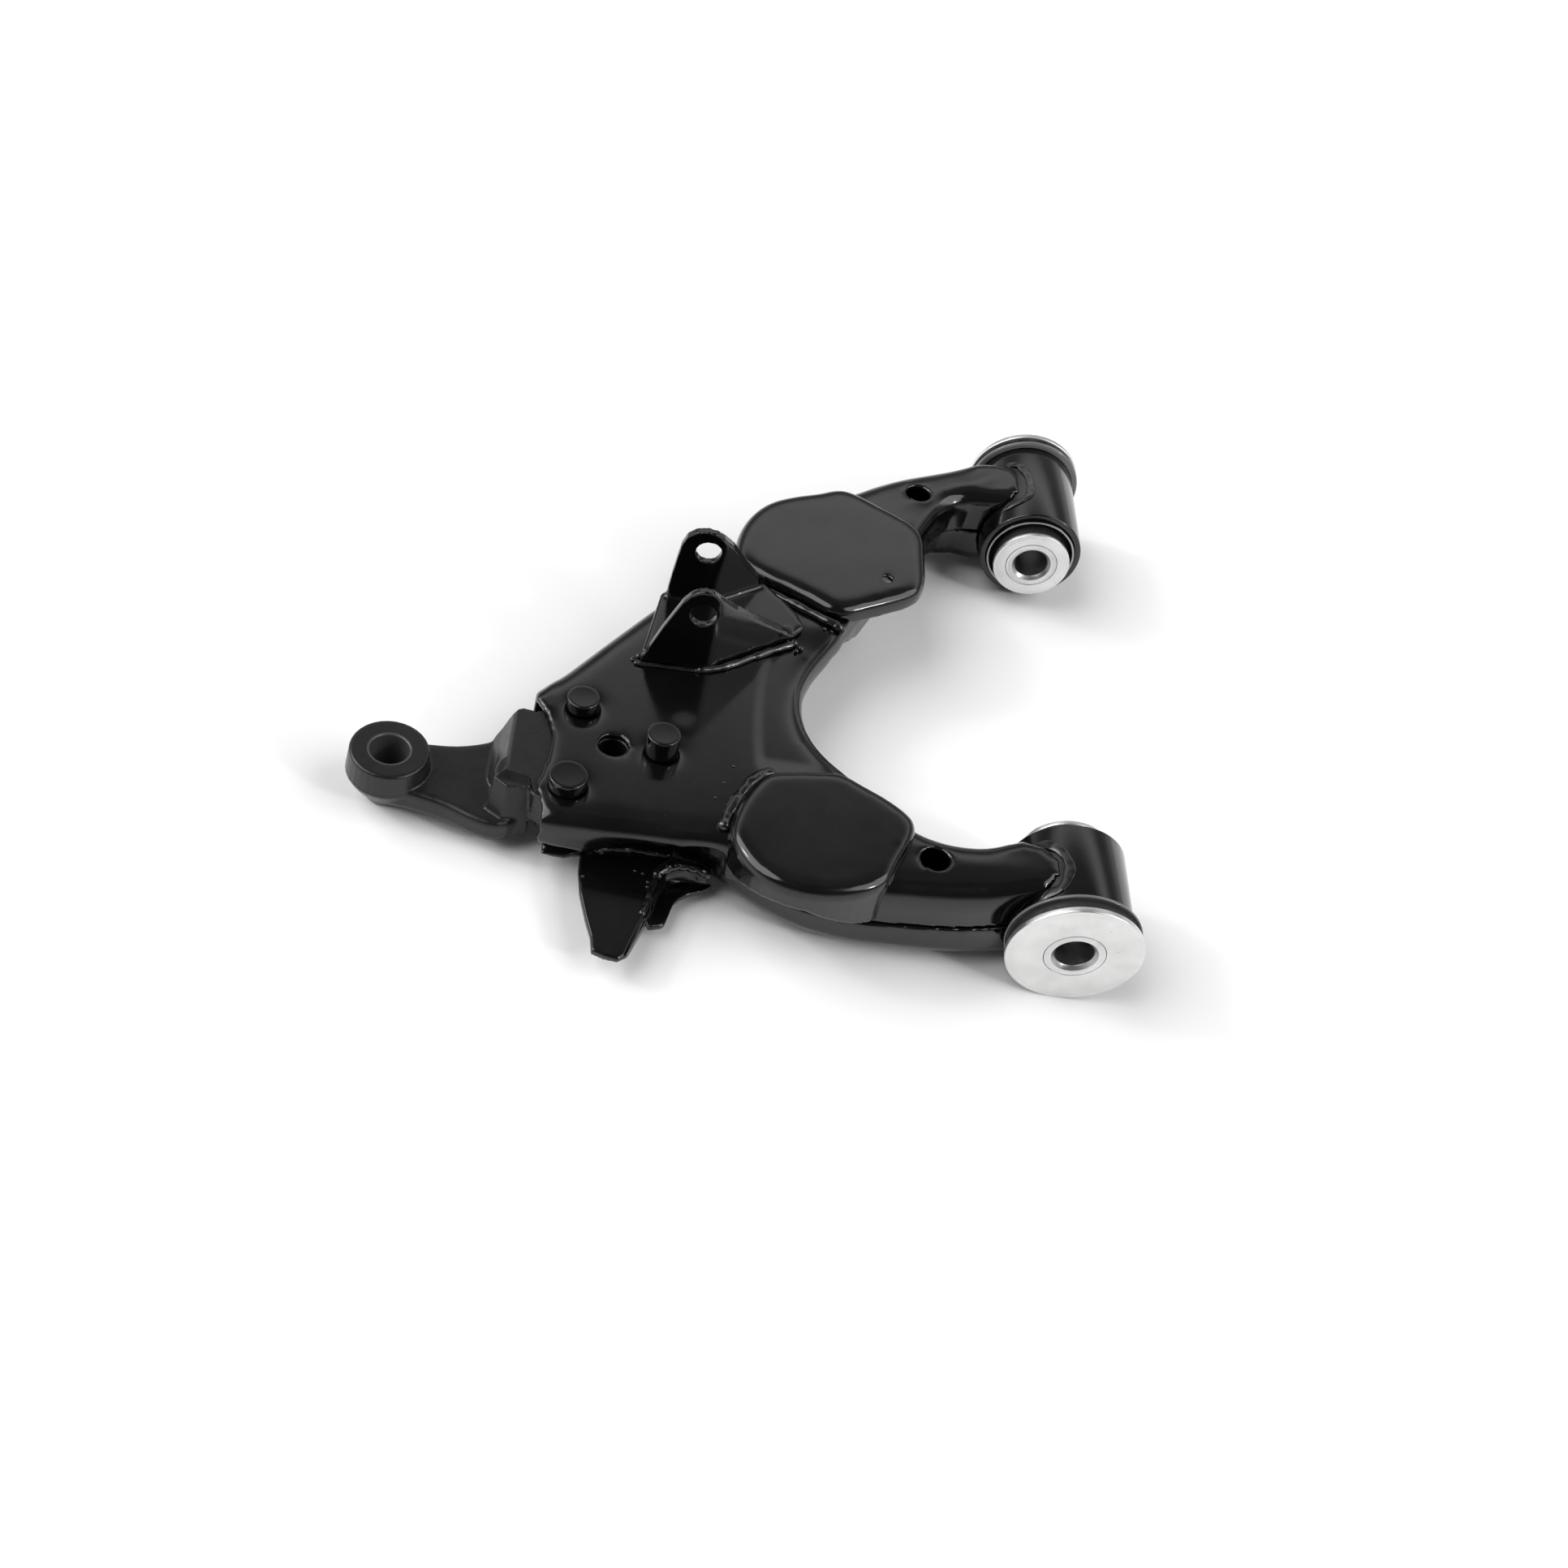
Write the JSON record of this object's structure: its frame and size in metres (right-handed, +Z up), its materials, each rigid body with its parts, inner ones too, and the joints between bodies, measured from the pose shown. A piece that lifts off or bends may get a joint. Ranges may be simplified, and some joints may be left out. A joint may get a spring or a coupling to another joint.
{
  "type": "suspension control arm",
  "caption": "Lower suspension control arm: pressed steel V-shaped body, forged ball-joint eye, shock and stabiliser brackets, bump pads and rubber bushes.",
  "frame": {"origin": "on the ground under the middle of the arm's bounding box, with the arm lying on its two large bush washers and its eye", "axes": "+Y along the bush pivot axis from the front bush to the rear bush, +X from the ball-joint eye to the pivot axis, +Z up, away from the ground"},
  "size_m": [0.4048, 0.4204, 0.1015],
  "materials": {
    "gloss_black_paint": "gloss black cathodic paint over pressed steel",
    "forged_black_paint": "satin black paint over a forged, shot-blasted skin",
    "weld_black_paint": "gloss black paint over rippled weld beads",
    "bush_rubber": "matt moulded rubber",
    "zinc_plate": "bright zinc plate on turned steel"
  },
  "bodies": {
    "welded_arm": {"upper_shell": "gloss_black_paint", "lower_shell": "gloss_black_paint", "ball_joint_arm": "forged_black_paint", "rivet_outer_rear": "gloss_black_paint", "rivet_outer_front": "gloss_black_paint", "rivet_inner": "gloss_black_paint", "front_bump_pad": "gloss_black_paint", "rear_bump_pad": "gloss_black_paint", "shock_bracket": "gloss_black_paint", "stabiliser_bracket": "gloss_black_paint", "stabiliser_gusset": "gloss_black_paint", "shock_bracket_weld": "weld_black_paint", "front_pad_weld": "weld_black_paint", "rear_pad_weld": "weld_black_paint", "front_tube_weld": "weld_black_paint", "rear_tube_weld": "weld_black_paint", "stabiliser_weld": "weld_black_paint", "stabiliser_gusset_weld": "weld_black_paint", "front_eye_tube": "gloss_black_paint", "front_bush_sleeve": "gloss_black_paint", "front_bush_rubber": "bush_rubber", "rear_eye_tube": "gloss_black_paint", "rear_bush_sleeve": "gloss_black_paint", "rear_bush_rubber": "bush_rubber"},
    "front_bush_core": {"front_inner_tube": "zinc_plate", "front_large_washer": "zinc_plate", "front_small_washer": "zinc_plate"},
    "rear_bush_core": {"rear_inner_tube": "zinc_plate", "rear_large_washer": "zinc_plate", "rear_small_washer": "zinc_plate"}
  },
  "joints": [
    {"name": "front_bush_twist", "type": "hinge", "parent": "welded_arm", "child": "front_bush_core", "pos_m": [0.1674, -0.14215, 0.035], "axis": [0, 1, 0], "range_deg": [-25, 25], "stiffness_Nm_per_rad": 60},
    {"name": "rear_bush_twist", "type": "hinge", "parent": "welded_arm", "child": "rear_bush_core", "pos_m": [0.1674, 0.16695, 0.035], "axis": [0, 1, 0], "range_deg": [-25, 25], "stiffness_Nm_per_rad": 80}
  ]
}
